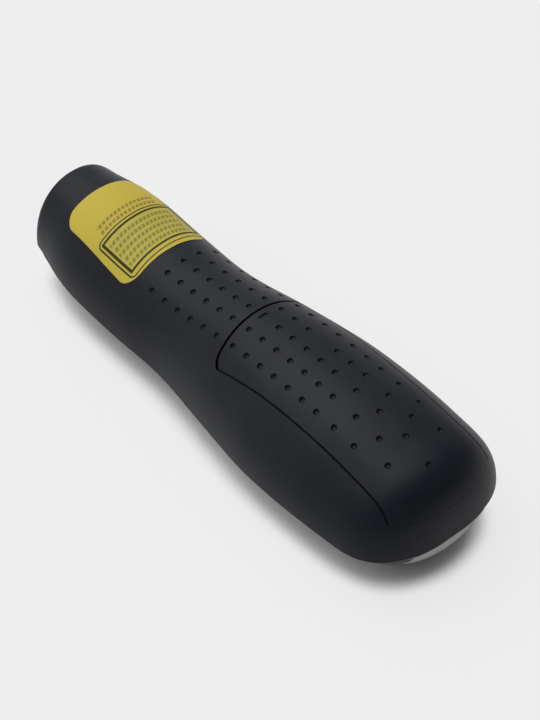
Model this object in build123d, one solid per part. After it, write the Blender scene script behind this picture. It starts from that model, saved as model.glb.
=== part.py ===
from build123d import *
import math
import os

# Wireless presentation clicker, lying on its thumb side with its battery cover up.
# X runs from the nose (-X) to the butt (+X) and Z points up. Millimetres.

# ---- Casing form -------------------------------------------------------------------------
LENGTH = 116.5          # nose face to butt
WALL = 1.6              # casing wall
NOSE_WALL = 1.8         # wall behind the flat nose face
NOSE_ROUND = 0.7        # rounding of the nose face's rim
PARTING_STEP = 0.2      # the thumb shell's side stands in this far from the back shell's rim
BUTT_PLAN = 13.0        # length over which the width closes at the butt
BUTT_CROWN = 10.0       # length over which the back closes at the butt
BUTT_KEEL = 15.0        # length over which the thumb side closes at the butt
BUTT_PLAN_POWER = 2.63
BUTT_CROWN_POWER = 2.8
BUTT_KEEL_POWER = 2.2
CLOSE = 0.99            # share of a full closing, which leaves a small flat at the very end
# Share of the length from the nose, half width, crown, rim and keel height. The keel is
# where the thumb side would end if it weren't cut flat.
STATIONS = [
    (0.000, 10.95, 23.4, 8.9, 3.0),
    (0.118, 13.9, 24.3, 7.6, -0.6),
    (0.260, 14.2, 23.5, 6.6, -2.2),
    (0.388, 14.1, 24.3, 6.5, -2.5),
    (0.526, 16.4, 26.7, 7.1, -2.7),
    (0.664, 18.8, 27.6, 8.1, -2.8),
    (0.803, 19.2, 27.1, 9.2, -2.6),
    (0.901, 18.6, 25.8, 9.8, -1.8),
    (1.000, 17.7, 24.2, 10.5, 0.0),
]
HALF, CROWN, RIM, KEEL = 1, 2, 3, 4
ARCH_WIDTH_POWER = (2.12, 2.24)     # squareness of the back's arch, at the nose and the butt
ARCH_HEIGHT_POWER = (2.27, 1.80)
HULL_POWER = 2.2                    # squareness of the thumb side
ARC_STEPS = 12
BODY_STATIONS = 13
CLOSING_ANGLES = (16, 31, 45, 58, 70, 80, 90)

# ---- Thumb side --------------------------------------------------------------------------
FACET = 0.5             # height of the flat cut along the thumb side
PLATE_START = 13.5      # nose face to the face plate
PLATE_LENGTH = 78.5
PLATE_WIDTH = 13.8
PLATE_THICK = 1.3
PLATE_GAP = 0.1
PLATE_EDGE = 0.3        # chamfer round the outer face
FLOOR_THICK = 1.3       # casing floor under the face plate

KEY_RECESS = 0.4        # key faces lie this far inside the face plate
KEY_EDGE = 0.3          # rounding of the key faces
KEY_GAP = 0.2
KEY_FLANGE = 0.7        # flange thickness
KEY_FLANGE_REACH = 0.8  # flange beyond the key's edge
KEY_TRAVEL = 0.3
KEY_CORNER = 2.5
# name: distance from the nose, sideways place, length, width
KEYS = {
    "laser": (23.0, 0.0, 8.5, 8.5),
    "next": (35.0, 0.0, 9.5, 11.5),
    "previous": (46.6, 0.0, 9.5, 11.5),
    "play": (56.6, -3.5, 4.4, 4.4),
    "blank": (56.6, 3.5, 4.4, 4.4),
}
SWITCH_SIZE = 4.5
SWITCH_HEIGHT = 1.8
SWITCH_GAP = 0.5        # key flange to switch body
PLUNGER_RADIUS = 0.9
PLUNGER_GAP = 0.1
PLUNGER_ENTRY = 0.4     # how deep the plunger stands in the switch at rest

KNOB_PLACE = 64.5       # power knob from the nose, at rest
KNOB_LENGTH = 4.0
KNOB_WIDTH = 2.8
KNOB_TRAVEL = 2.5
KNOB_RIDGE_PITCH = 1.0
KNOB_RIDGE = (0.4, 0.3)     # width and depth of the grooves between the ridges
SLIDER_SIZE = 1.5
POWER_SWITCH_LENGTH = 6.4
POWER_SWITCH_WIDTH = 3.6

LIGHT_PLACE = 16.2      # status light from the nose
LIGHT_RADIUS = 0.8
LED_SIZE = 1.6
LED_HEIGHT = 0.8

# ---- Circuit board -----------------------------------------------------------------------
BOARD_START = 8.5
BOARD_LENGTH = 60.5
BOARD_WIDTH = 15.6
BOARD_THICK = 1.0
BOARD_CORNER = 2.0
POST_RADIUS = 1.5
BOARD_SCREW_INSET = 3.0
BOARD_SCREW_RADIUS = 0.8
BOARD_SCREW_HEAD = 1.5
BOARD_SCREW_HEAD_HEIGHT = 0.8
BOARD_SCREW_LENGTH = 3.2
# name: distance from the nose, sideways place, length, width, height
CHIPS = {
    "controller_chip": (36.0, 0.5, 7.0, 7.0, 0.9),
    "radio_chip": (51.0, -2.0, 4.0, 4.0, 0.8),
    "memory_chip": (45.0, 4.2, 4.9, 3.9, 0.9),
    "crystal": (51.5, 3.6, 3.2, 2.5, 0.8),
    "voltage_booster": (60.0, -2.5, 3.0, 1.8, 1.0),
}
CAPACITOR_PLACES = ((31.0, -5.5), (34.0, -5.5), (37.0, -5.5), (31.0, 6.0), (42.0, -4.5),
                    (55.5, -5.5), (55.5, 0.0), (58.0, 5.0), (61.0, 5.0))
CAPACITOR_SIZE = (1.6, 0.8, 0.7)
COIL_PLACE = (63.5, 1.2)
COIL_RADIUS = 2.0
COIL_HEIGHT = 1.8

# ---- Laser -------------------------------------------------------------------------------
LASER_HEIGHT = 14.0
BARREL_RADIUS = 4.0
BARREL_LENGTH = 13.0
BARREL_BORE = 2.6
BARREL_GAP = 0.5        # nose wall to barrel
WINDOW_RADIUS = 3.2
WINDOW_THICK = 1.2
WINDOW_RECESS = 0.3
LENS_THICK = 1.6
LENS_DOME = 7.8         # radius of its domed face
LENS_PLACE = 2.5        # barrel's front end to the lens
DIODE_LENGTH = 3.0
DIODE_CAN_RADIUS = 1.3
DIODE_CAN_LENGTH = 2.4
LASER_BOARD = (9.0, 7.0, 0.8)
RIB_THICK = 1.4
RIB_PLACES = (3.0, 9.5)  # barrel's front end to each rib
RIB_GAP = 0.05

# ---- Battery bay -------------------------------------------------------------------------
CELL_RADIUS = 5.25
CELL_LENGTH = 44.5
CELL_NUB_RADIUS = 1.9
CELL_NUB_LENGTH = 0.9
CELL_SPACING = 10.7
FRONT_CONTACT_SPACE = 2.0
REAR_CONTACT_SPACE = 2.5
BAY_END = 5.5           # butt to the bay's inner rear wall
TRAY_WALL = 1.0
TRAY_FLOOR = 0.8
TRAY_BASE = 10.0        # height of the tray's underside
TRAY_SIDE_GAP = 0.3     # cell to the tray's side wall
TRAY_HEIGHT = 6.8
TRAY_CORNER = 2.5
CELL_REST = 0.05
CONTACT_THICK = 0.35
CONTACT_WIDTH = 7.9
CONTACT_HEIGHT = 8.0
SPRING_WIRE = 0.22          # wire radius
SPRING_TURNS = 2.5
SPRING_OUTER = 3.0
SPRING_TAPER = 30.0         # degrees, narrower toward the cell
SPRING_GAP = 0.02           # spring's end to the cell
CASING_SCREW_PLACE = 12.3   # behind the bay's inner front wall
CASING_SCREW_RADIUS = 1.1
CASING_SCREW_HEAD = 2.0
CASING_SCREW_HEAD_HEIGHT = 1.0
CASING_SCREW_LENGTH = 6.5
BOSS_WALL = 1.4
SCREW_GAP = 0.03

# ---- Battery cover -----------------------------------------------------------------------
COVER_FRONT_REACH = 2.3     # the cover's front edge ahead of the bay's inner front wall
COVER_FRONT_SAG = 1.3       # rise of the front edge's arc
COVER_HALF_WIDTH = 12.2     # at COVER_WIDTH_HEIGHT
COVER_WIDTH_HEIGHT = 22.0
COVER_LEAN = 8.0            # degrees that the side joints lean, wider below
COVER_BOTTOM = 18.2         # height of its lower edge on the butt
COVER_CORNER = 2.2
COVER_GAP = 0.27            # seam along its sides
COVER_FRONT_GAP = 0.55      # seam along its front edge
COVER_LOW_GAP = 0.06        # seam across the butt
TONGUE_WIDTH = 9.0
TONGUE_REACH = 2.0
TONGUE_THICK = 0.8
TONGUE_DROP = 0.5           # below the casing's inner face

# ---- Finger dimples ----------------------------------------------------------------------
DIMPLE_RADIUS = 0.69
DIMPLE_LIFT = 0.18          # centre of the ball that cuts a dimple, above the surface
DIMPLE_PITCH = 4.07         # along the casing
DIMPLE_ROW_PITCH = 4.2
SHELL_DIMPLE_START = 37.0
SHELL_DIMPLE_COLUMNS = 6
COVER_DIMPLE_START = 62.3
COVER_DIMPLE_COLUMNS = 7
COVER_BARE_PLACE = (3, 1)   # this column and row have no dimple
NOTCH_AHEAD = 0.7           # finger notch ahead of the cover's first dimples
NOTCH_RADIUS = 0.35
NOTCH_LENGTH = 2.2
# last dimples of each row, from the nose: (distance, sideways place in rows)
REAR_DIMPLES = ((91.7, 2), (97.3, 2), (93.2, 1), (99.7, 1), (104.8, 1.6))
REAR_MIDDLE_DIMPLES = ((88.7, 0), (95.2, 0), (102.4, 0), (109.6, -0.2))

# ---- Sticker -----------------------------------------------------------------------------
STICKER_START = 9.2
STICKER_LENGTH = 23.1
STICKER_FRONT_WIDTH = 19.0
STICKER_REAR_WIDTH = 21.4
STICKER_CORNER = 3.2
STICKER_THICK = 0.12
STICKER_LOW = 12.0          # nothing of it lies lower

# ---- USB receiver ------------------------------------------------------------------------
RECEIVER_WIDTH = 16.5
RECEIVER_THICK = 6.2
RECEIVER_TOP = 9.75
RECEIVER_LENGTH = 19.0      # case, to the butt
RECEIVER_CORNER = 1.0
RECEIVER_FIT = 0.1          # gap round the receiver in its dock
RECEIVER_CAP_LENGTH = 3.8   # the wider end that shows at the butt
RECEIVER_CAP_WIDTH = 18.2
PLUG_WIDTH = 12.0
PLUG_THICK = 4.5
PLUG_LENGTH = 18.7          # clear of the case
PLUG_SHEET = 0.3
PLUG_ROOT = 2.0             # how far the plug stands in the case
PLUG_TONGUE_WIDTH = 11.0
PLUG_TONGUE_THICK = 1.8
PLUG_TONGUE_SET_IN = 0.6    # plug's end to the tongue's end
PLUG_CONTACTS = ((-3.5, 7.4), (-1.0, 6.6), (1.0, 6.6), (3.5, 7.4))  # sideways place, length
PLUG_CONTACT_WIDTH = 1.0
PLUG_CONTACT_THICK = 0.15
RECEIVER_ROOM_WIDTH = 13.5
RECEIVER_ROOM_HEIGHT = 4.2
RECEIVER_ROOM_END = 3.5     # butt to the room in the case
RECEIVER_BOARD_WIDTH = 12.0
RECEIVER_BOARD_THICK = 0.8
RECEIVER_BOARD_GAP = 0.5    # to the ends of its room
RECEIVER_CHIP = (4.0, 4.0, 0.8)
DOCK_WALL = 1.0
DOCK_GAP = 0.3              # plug's end to the dock's end wall
DOCK_END = 14.0             # butt to the dock's open end
DOCK_TOP_GAP = 0.05         # under the battery tray

NOSE = -LENGTH / 2
BUTT = LENGTH / 2
FLOOR_TOP = PLATE_THICK + FLOOR_THICK
FLANGE_TOP = FLOOR_TOP + KEY_FLANGE
BOARD_BASE = FLANGE_TOP + SWITCH_GAP + SWITCH_HEIGHT
BOARD_TOP = BOARD_BASE + BOARD_THICK
BAY_REAR = BUTT - BAY_END
BAY_LENGTH = FRONT_CONTACT_SPACE + CELL_LENGTH + REAR_CONTACT_SPACE
BAY_FRONT = BAY_REAR - BAY_LENGTH
CELL_CENTRE = TRAY_BASE + TRAY_FLOOR + CELL_REST + CELL_RADIUS
CELL_FRONT = BAY_FRONT + FRONT_CONTACT_SPACE
TRAY_INSIDE = CELL_SPACING / 2 + CELL_RADIUS + TRAY_SIDE_GAP
COVER_FRONT = BAY_FRONT - COVER_FRONT_REACH
PLATE_CENTRE = NOSE + PLATE_START + PLATE_LENGTH / 2
BARREL_FRONT = NOSE + NOSE_WALL + BARREL_GAP
RECEIVER_FRONT = BUTT - RECEIVER_LENGTH
RECEIVER_CENTRE = RECEIVER_TOP - RECEIVER_THICK / 2
PLUG_FRONT = RECEIVER_FRONT - PLUG_LENGTH


# ---- Casing surfaces ---------------------------------------------------------------------

def smooth(distance, column):
    """A station column at this distance from the nose, as a smooth curve."""
    places = [LENGTH * row[0] for row in STATIONS]
    values = [row[column] for row in STATIONS]
    last = len(places) - 1

    def slope(i):
        low, high = max(i - 1, 0), min(i + 1, last)
        return (values[high] - values[low]) / (places[high] - places[low])

    i = max(k for k in range(last) if places[k] <= distance or k == 0)
    span = places[i + 1] - places[i]
    t = (distance - places[i]) / span
    start, end = values[i], values[i + 1]
    return (start * (1 + 2 * t) * (1 - t) ** 2 + slope(i) * span * t * (1 - t) ** 2
            + end * t * t * (3 - 2 * t) + slope(i + 1) * span * t * t * (t - 1))


def closing(distance, reach, power, inset):
    """How far the section is closed at the butt, from 1 (open) down to nearly 0."""
    share = CLOSE * (distance - (LENGTH - reach)) / (reach - inset)
    return (1 - min(max(share, 0), CLOSE) ** power) ** (1 / power)


def casing_at(distance, inset=0.0):
    """Half width, rim height, rise of the back and depth of the thumb side."""
    rim = smooth(distance, RIM)
    edge = inset
    if inset <= 0 and distance < NOSE_ROUND:
        edge += NOSE_ROUND - math.sqrt(NOSE_ROUND ** 2 - (NOSE_ROUND - distance) ** 2)
    half = (smooth(distance, HALF) - edge) * closing(distance, BUTT_PLAN, BUTT_PLAN_POWER, max(inset, 0))
    rise = (smooth(distance, CROWN) - edge - rim) * closing(distance, BUTT_CROWN, BUTT_CROWN_POWER,
                                                            max(inset, 0))
    depth = (rim - smooth(distance, KEEL) - edge) * closing(distance, BUTT_KEEL, BUTT_KEEL_POWER,
                                                            max(inset, 0))
    return half, rim, rise, depth


def arch_powers(distance):
    share = min(distance / LENGTH, 1)
    return tuple(ends[0] + (ends[1] - ends[0]) * share for ends in (ARCH_WIDTH_POWER, ARCH_HEIGHT_POWER))


def back_height(distance, sideways, inset=0.0):
    """Height of the back's surface above a place in plan."""
    half, rim, rise, _ = casing_at(distance, inset)
    width_power, height_power = arch_powers(distance)
    return rim + rise * max(1 - abs(sideways / half) ** width_power, 0) ** (1 / height_power)


def back_arc(distance, inset=0.0):
    """The back's arch across one station, from +Y to -Y."""
    half, rim, rise, _ = casing_at(distance, inset)
    width_power, height_power = arch_powers(distance)
    points = []
    for step in range(ARC_STEPS + 1):
        angle = math.pi * step / ARC_STEPS
        across = math.cos(angle)
        y = half * math.copysign(abs(across) ** (2 / width_power), across)
        points.append((NOSE + distance, y, rim + rise * max(math.sin(angle), 0) ** (2 / height_power)))
    points[0] = (NOSE + distance, half, rim)
    points[-1] = (NOSE + distance, -half, rim)
    return Spline(*points)


def hull_arc(distance, inset=0.0):
    """The thumb side's curve across one station, from -Y to +Y."""
    half, rim, _, depth = casing_at(distance, inset)
    steepness = HULL_POWER * depth / half
    points = []
    for step in range(ARC_STEPS + 1):
        across = -math.cos(math.pi * step / ARC_STEPS)
        points.append((NOSE + distance, half * across, rim - depth * (1 - abs(across) ** HULL_POWER)))
    return Spline(*points, tangents=((0, 1, -steepness), (0, 1, steepness)))


def rim_line(distance, inset=0.0, reverse=False):
    half, rim, _, _ = casing_at(distance, inset)
    ends = ((NOSE + distance, -half, rim), (NOSE + distance, half, rim))
    return Line(*(ends[::-1] if reverse else ends))


def station_distances(start, inset):
    """Where the sections stand: even along the body, and closer together as the butt closes."""
    body_end = LENGTH - max(BUTT_PLAN, BUTT_KEEL)
    end = LENGTH - max(inset, 0)
    step = (body_end - start) / (BODY_STATIONS - 1)
    distances = [start + step * i for i in range(BODY_STATIONS)]
    if start == 0:
        distances[1:1] = [0.15 * NOSE_ROUND, 0.5 * NOSE_ROUND, NOSE_ROUND, 3 * NOSE_ROUND]
    closing_length = end - body_end
    distances += [body_end + closing_length * math.sin(math.radians(angle)) for angle in CLOSING_ANGLES]
    return distances


def make_back_form():
    """The back half as a solid block, from the rim up."""
    return Solid.make_loft([Wire([back_arc(d), rim_line(d)]) for d in station_distances(0, 0)])


def make_hull_form(inset):
    """The thumb half as a solid block, from the rim down to the flat cut."""
    stations = station_distances(0, 0)
    hull = Solid.make_loft([Wire([hull_arc(d, inset if d >= NOSE_ROUND else 0),
                                  rim_line(d, inset if d >= NOSE_ROUND else 0, True)]) for d in stations])
    return hull - slab(FACET)


def make_room(inset):
    """The space inside the casing, with a flat floor."""
    room = Solid.make_loft([Wire([back_arc(d, inset), hull_arc(d, inset)])
                            for d in station_distances(NOSE_WALL - WALL + inset, inset)])
    return room - slab(FLOOR_TOP)


def slab(top):
    """Everything below a height."""
    depth = 2 * abs(min(row[KEEL] for row in STATIONS)) + 2 * top
    return Pos(0, 0, top - depth / 2) * Box(2 * LENGTH, LENGTH, depth)


def block(low, high):
    """A box between two corners."""
    size = [b - a for a, b in zip(low, high)]
    centre = [(a + b) / 2 for a, b in zip(low, high)]
    return Pos(*centre) * Box(*size)


def rod(place, base, radius, height):
    """An upright cylinder that stands on a height."""
    return Pos(place[0], place[1], base + height / 2) * Cylinder(radius, height)


def lengthwise_rod(start, height, radius, length, sideways=0.0):
    """A cylinder along X from its nose end."""
    return Pos(start + length / 2, sideways, height) * Rot(0, 90, 0) * Cylinder(radius, length)


def rounded_block(centre, length, width, base, height, corner):
    """A block with rounded upright edges."""
    corner = min(corner, 0.49 * length, 0.49 * width)
    return Pos(centre[0], centre[1], base) * extrude(RectangleRounded(length, width, corner), height)


# ---- Finger dimples ----------------------------------------------------------------------

def surface_place(distance, sideways, lift):
    """A point this far out from the back's surface."""
    step = 0.05

    def rise(along, across):
        ahead = back_height(distance + along, sideways + across)
        behind = back_height(distance - along, sideways - across)
        return (ahead - behind) / (2 * step)

    outward = Vector(-rise(step, 0), -rise(0, step), 1).normalized()
    return Vector(NOSE + distance, sideways, back_height(distance, sideways)) + outward * lift


def dimple(distance, row):
    """The ball that cuts a dimple, turned so that its seam faces straight out of the surface."""
    sideways = row * DIMPLE_ROW_PITCH
    centre = surface_place(distance, sideways, DIMPLE_LIFT)
    outward = centre - surface_place(distance, sideways, 0)
    upright = Plane(origin=centre, x_dir=outward, z_dir=outward.cross(Vector(0, 1, 0)))
    return upright * Sphere(DIMPLE_RADIUS)


def shell_dimples():
    distances = [SHELL_DIMPLE_START + i * DIMPLE_PITCH for i in range(SHELL_DIMPLE_COLUMNS)]
    return [dimple(distance, row) for distance in distances for row in (-2, -1, 0, 1, 2)]


def cover_dimples():
    """The regular rows, then the places that thin out toward the butt, and the finger notch."""
    cutters = []
    for column in range(COVER_DIMPLE_COLUMNS):
        distance = COVER_DIMPLE_START + column * DIMPLE_PITCH
        cutters += [dimple(distance, row) for row in (-2, -1, 1, 2) if (column, row) != COVER_BARE_PLACE]
        if 0 < column < COVER_DIMPLE_COLUMNS - 1:
            cutters.append(dimple(distance, 0))
    for distance, row in REAR_DIMPLES:
        cutters += [dimple(distance, row), dimple(distance, -row)]
    cutters += [dimple(distance, row) for distance, row in REAR_MIDDLE_DIMPLES]
    notch_place = surface_place(COVER_DIMPLE_START - NOTCH_AHEAD, 0, 0)
    notch = Pos(notch_place) * Rot(90, 0, 0) * Cylinder(NOTCH_RADIUS, NOTCH_LENGTH)
    return cutters + [notch]


# ---- Casing ------------------------------------------------------------------------------

def cover_region(side):
    """The space in the cover's seam's outer edge for a side of 1, and in its inner edge for -1."""
    lean = math.tan(math.radians(COVER_LEAN))
    low = COVER_BOTTOM - side * COVER_LOW_GAP / 2
    high = max(row[CROWN] for row in STATIONS) + WALL
    front = COVER_FRONT - side * COVER_FRONT_GAP / 2
    half = COVER_HALF_WIDTH + side * COVER_GAP / 2
    low_half = half + lean * (COVER_WIDTH_HEIGHT - low)
    high_half = half + lean * (COVER_WIDTH_HEIGHT - high)
    outline = Polyline((-low_half, low), (low_half, low), (high_half, high), (-high_half, high), close=True)
    rear = BUTT + WALL
    bar = Pos(front, 0, 0) * extrude(Plane.YZ * make_face(outline), rear - front)
    arc_radius = (half ** 2 + COVER_FRONT_SAG ** 2) / (2 * COVER_FRONT_SAG)
    bar &= Pos(front + arc_radius, 0, (low + high) / 2) * Cylinder(arc_radius, 2 * (high - low))
    corners = [edge for edge in bar.edges()
               if abs(edge.center().Y) > 0.8 * half and edge.center().X < front + 2 * COVER_FRONT_SAG]
    return fillet(corners, COVER_CORNER + side * COVER_GAP / 2)


def make_back_shell(form, room):
    """The battery side of the casing, with the cover's opening and two ribs round the laser."""
    shell = form - room
    window_bore = lengthwise_rod(NOSE - 1, LASER_HEIGHT, WINDOW_RADIUS, NOSE_WALL + 2)
    shell -= [cover_region(1), window_bore] + shell_dimples()
    barrel_bore = lengthwise_rod(NOSE, LASER_HEIGHT, BARREL_RADIUS + RIB_GAP, 2 * BARREL_LENGTH)
    top = max(row[CROWN] for row in STATIONS)
    for place in RIB_PLACES:
        rib = room & block((BARREL_FRONT + place, -LENGTH, LASER_HEIGHT - 1),
                           (BARREL_FRONT + place + RIB_THICK, LENGTH, top))
        shell += rib - barrel_bore
    return shell


def make_battery_cover(form, room):
    """The sliding cover, with a tongue that reaches under the casing's edge."""
    cover = (form - room) & cover_region(-1)
    cover -= cover_dimples()
    front = COVER_FRONT - NOSE
    top = back_height(front, TONGUE_WIDTH / 2) - 1.1 * WALL - TONGUE_DROP
    inner_end = COVER_FRONT + COVER_FRONT_SAG + WALL
    tongue = block((COVER_FRONT - TONGUE_REACH, -TONGUE_WIDTH / 2, top - TONGUE_THICK),
                   (inner_end, TONGUE_WIDTH / 2, top))
    root = room & block((COVER_FRONT + COVER_FRONT_GAP, -TONGUE_WIDTH / 2, top - TONGUE_THICK),
                        (inner_end, TONGUE_WIDTH / 2, top + 3 * WALL))
    return cover + tongue + root


def plate_outline(grow):
    return RectangleRounded(PLATE_LENGTH + 2 * grow, PLATE_WIDTH + 2 * grow, 0.49 * PLATE_WIDTH + grow)


def key_shape(name, grow):
    """A key's outline in plan, grown by this much, at its place."""
    distance, sideways, length, width = KEYS[name]
    corner = KEY_CORNER if length > 2 * KEY_CORNER + 1 and length != width else 0.49 * length
    outline = RectangleRounded(length + 2 * grow, width + 2 * grow, corner + grow)
    return Pos(NOSE + distance, sideways) * outline


def knob_slot(grow):
    """The power knob's slot in plan."""
    length = KNOB_LENGTH + KNOB_TRAVEL + 2 * (KEY_GAP + grow)
    centre = NOSE + KNOB_PLACE + KNOB_TRAVEL / 2
    return Pos(centre, 0) * RectangleRounded(length, KNOB_WIDTH + 2 * (KEY_GAP + grow), KEY_GAP + grow + 0.4)


def thumb_openings():
    """The holes for the keys, the power knob and the status light, through plate and floor."""
    height = FLOOR_TOP + 2
    openings = [Pos(0, 0, -1) * extrude(key_shape(name, KEY_GAP), height) for name in KEYS]
    openings.append(Pos(0, 0, -1) * extrude(knob_slot(0), height))
    openings.append(rod((NOSE + LIGHT_PLACE, 0), -1, LIGHT_RADIUS, height))
    return openings


def casing_screw_place():
    return BAY_FRONT + CASING_SCREW_PLACE, 0


def board_post_places():
    """The board's four posts: two with screws toward the nose, two plain ones."""
    front = NOSE + BOARD_START + BOARD_SCREW_INSET
    rear = NOSE + BOARD_START + BOARD_LENGTH - BOARD_SCREW_INSET
    side = BOARD_WIDTH / 2 - BOARD_SCREW_INSET + 0.6
    return [(front, side), (front, -side)], [(rear, side), (rear, -side)]


def make_thumb_shell(form, hull, room):
    """The thumb side of the casing, with the face plate's pocket, posts and screw boss."""
    shell = hull - form - room
    pocket = Pos(PLATE_CENTRE, 0, -1) * extrude(plate_outline(PLATE_GAP), PLATE_THICK + 1)
    shell -= [pocket] + thumb_openings()
    screwed, plain = board_post_places()
    for place in screwed + plain:
        shell += rod(place, FLOOR_TOP, POST_RADIUS, BOARD_BASE - FLOOR_TOP)
    boss_radius = CASING_SCREW_RADIUS + BOSS_WALL
    shell += rod(casing_screw_place(), FLOOR_TOP, boss_radius, TRAY_BASE - FLOOR_TOP)
    shell -= [casing_screw_shank(SCREW_GAP)] + [board_screw_shank(place, SCREW_GAP) for place in screwed]
    return shell - [receiver_block(RECEIVER_FIT, WALL), receiver_cap_block(RECEIVER_FIT, WALL)]


def make_face_plate():
    plate = Pos(PLATE_CENTRE, 0, 0) * extrude(plate_outline(0), PLATE_THICK)
    rim = plate.faces().sort_by(Axis.Z)[0].edges()
    plate = chamfer(rim, PLATE_EDGE)
    return plate - thumb_openings()


def make_sticker(form):
    """A thin sheet that follows the back near the nose."""
    reach = 2.0
    start = STICKER_START - reach
    steps = 6
    sections = []
    for i in range(steps + 1):
        distance = start + (STICKER_LENGTH + 2 * reach) * i / steps
        sections.append(Wire([back_arc(distance, -STICKER_THICK), rim_line(distance, -STICKER_THICK)]))
    sheet = Solid.make_loft(sections)
    front, rear = NOSE + STICKER_START, NOSE + STICKER_START + STICKER_LENGTH
    outline = Polyline((front, -STICKER_FRONT_WIDTH / 2), (rear, -STICKER_REAR_WIDTH / 2),
                       (rear, STICKER_REAR_WIDTH / 2), (front, STICKER_FRONT_WIDTH / 2), close=True)
    face = make_face(outline)
    face = fillet(face.vertices(), STICKER_CORNER)
    prism = Pos(0, 0, STICKER_LOW) * extrude(face, max(row[CROWN] for row in STATIONS))
    return (sheet & prism) - form


def make_laser_window():
    return lengthwise_rod(NOSE + WINDOW_RECESS, LASER_HEIGHT, WINDOW_RADIUS, WINDOW_THICK)


# ---- Keys, power switch and status light -------------------------------------------------

def make_key(name):
    """A key: its cap stands in the face plate, its flange behind the casing floor."""
    cap = Pos(0, 0, KEY_RECESS) * extrude(key_shape(name, 0), FLOOR_TOP - KEY_RECESS)
    rim = cap.faces().sort_by(Axis.Z)[0].edges()
    cap = fillet(rim, KEY_EDGE)
    flange = Pos(0, 0, FLOOR_TOP) * extrude(key_shape(name, KEY_FLANGE_REACH), KEY_FLANGE)
    return cap + flange


def make_plunger(name):
    distance, sideways = KEYS[name][:2]
    return rod((NOSE + distance, sideways), FLANGE_TOP, PLUNGER_RADIUS, SWITCH_GAP + PLUNGER_ENTRY)


def make_key_switches():
    """One switch body for each key, with a well for its plunger."""
    base = FLANGE_TOP + SWITCH_GAP
    bodies = []
    for distance, sideways, _, _ in KEYS.values():
        place = (NOSE + distance, sideways)
        body = rounded_block(place, SWITCH_SIZE, SWITCH_SIZE, base, SWITCH_HEIGHT, 0.4)
        well = rod(place, base - 1, PLUNGER_RADIUS + PLUNGER_GAP, 1 + PLUNGER_ENTRY + KEY_TRAVEL + 0.2)
        bodies.append(body - well)
    return Compound(bodies)


def make_power_knob():
    """The sliding knob, with grip ridges across it."""
    place = (NOSE + KNOB_PLACE, 0)
    cap = rounded_block(place, KNOB_LENGTH, KNOB_WIDTH, KEY_RECESS, FLOOR_TOP - KEY_RECESS, 0.5)
    width, depth = KNOB_RIDGE
    for i in (-1, 0, 1):
        centre = place[0] + i * KNOB_RIDGE_PITCH
        cap -= block((centre - width / 2, -KNOB_WIDTH, KEY_RECESS - 1),
                     (centre + width / 2, KNOB_WIDTH, KEY_RECESS + depth))
    flange = rounded_block(place, KNOB_LENGTH + 2 * KEY_FLANGE_REACH, KNOB_WIDTH + 2 * KEY_FLANGE_REACH,
                           FLOOR_TOP, KEY_FLANGE, 0.5)
    return cap + flange


def make_power_slider():
    """The switch's own slider, which the knob carries."""
    place = (NOSE + KNOB_PLACE, 0)
    return rounded_block(place, SLIDER_SIZE, SLIDER_SIZE, FLANGE_TOP, SWITCH_GAP + PLUNGER_ENTRY, 0.2)


def make_power_switch():
    base = FLANGE_TOP + SWITCH_GAP
    centre = (NOSE + KNOB_PLACE + KNOB_TRAVEL / 2, 0)
    body = rounded_block(centre, POWER_SWITCH_LENGTH, POWER_SWITCH_WIDTH, base, SWITCH_HEIGHT, 0.3)
    slot_length = SLIDER_SIZE + KNOB_TRAVEL + 2 * PLUNGER_GAP
    slot_depth = PLUNGER_ENTRY + 0.2
    slot_width = SLIDER_SIZE + 2 * PLUNGER_GAP
    return body - rounded_block(centre, slot_length, slot_width, base - 1, 1 + slot_depth, 0.2)


def make_light_pipe():
    """A clear pin from the face plate up to the status light."""
    top = BOARD_BASE - LED_HEIGHT - 0.1
    pin = rod((NOSE + LIGHT_PLACE, 0), KEY_RECESS, LIGHT_RADIUS - 0.02, top - KEY_RECESS)
    return pin + rod((NOSE + LIGHT_PLACE, 0), FLOOR_TOP, LIGHT_RADIUS + 0.5, 0.6)


def make_status_led():
    place = (NOSE + LIGHT_PLACE, 0)
    return rounded_block(place, LED_SIZE, LED_SIZE, BOARD_BASE - LED_HEIGHT, LED_HEIGHT, 0.2)


# ---- Circuit board -----------------------------------------------------------------------

def make_circuit_board():
    centre = (NOSE + BOARD_START + BOARD_LENGTH / 2, 0)
    board = rounded_block(centre, BOARD_LENGTH, BOARD_WIDTH, BOARD_BASE, BOARD_THICK, BOARD_CORNER)
    screwed, _ = board_post_places()
    hole_radius = BOARD_SCREW_RADIUS + 0.1
    return board - [rod(place, BOARD_BASE - 1, hole_radius, BOARD_THICK + 2) for place in screwed]


def make_chip(name):
    distance, sideways, length, width, height = CHIPS[name]
    return rounded_block((NOSE + distance, sideways), length, width, BOARD_TOP, height, 0.2)


def make_capacitors():
    length, width, height = CAPACITOR_SIZE
    return Compound([rounded_block((NOSE + distance, sideways), length, width, BOARD_TOP, height, 0.1)
                     for distance, sideways in CAPACITOR_PLACES])


def make_power_coil():
    """The booster's wound coil, a short drum with a waist."""
    place = (NOSE + COIL_PLACE[0], COIL_PLACE[1])
    flange = COIL_HEIGHT / 5
    drum = rod(place, BOARD_TOP, COIL_RADIUS, flange)
    drum += rod(place, BOARD_TOP + flange, 0.8 * COIL_RADIUS, COIL_HEIGHT - 2 * flange)
    return drum + rod(place, BOARD_TOP + COIL_HEIGHT - flange, COIL_RADIUS, flange)


def board_screw_shank(place, grow):
    base = BOARD_TOP - BOARD_SCREW_LENGTH
    return rod(place, base - grow, BOARD_SCREW_RADIUS + grow, BOARD_SCREW_LENGTH + grow)


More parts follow.
